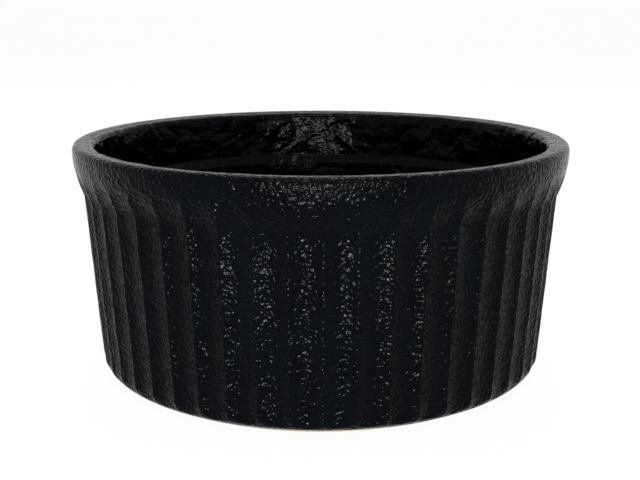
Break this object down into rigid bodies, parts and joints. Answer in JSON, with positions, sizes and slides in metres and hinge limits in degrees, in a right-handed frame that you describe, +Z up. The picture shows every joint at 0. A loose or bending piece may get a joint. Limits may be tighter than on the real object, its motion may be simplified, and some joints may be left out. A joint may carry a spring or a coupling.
{
  "type": "ramekin",
  "caption": "Small round straight-sided baking dish with a fluted outer wall, a flared plain collar and rim, a soft inner ledge and a bare foot ring.",
  "frame": {"origin": "middle of the foot ring's resting face, on the surface that the dish stands on", "axes": "+Z up along the dish's axis, -Y towards the camera of the picture, +X to its right"},
  "size_m": [0.09, 0.09, 0.0424],
  "materials": {
    "stoneware": "matt",
    "glaze": "satin"
  },
  "bodies": {
    "root": {"stoneware_body": "stoneware", "glaze_coat": "glaze", "base_glaze": "glaze"}
  },
  "joints": []
}
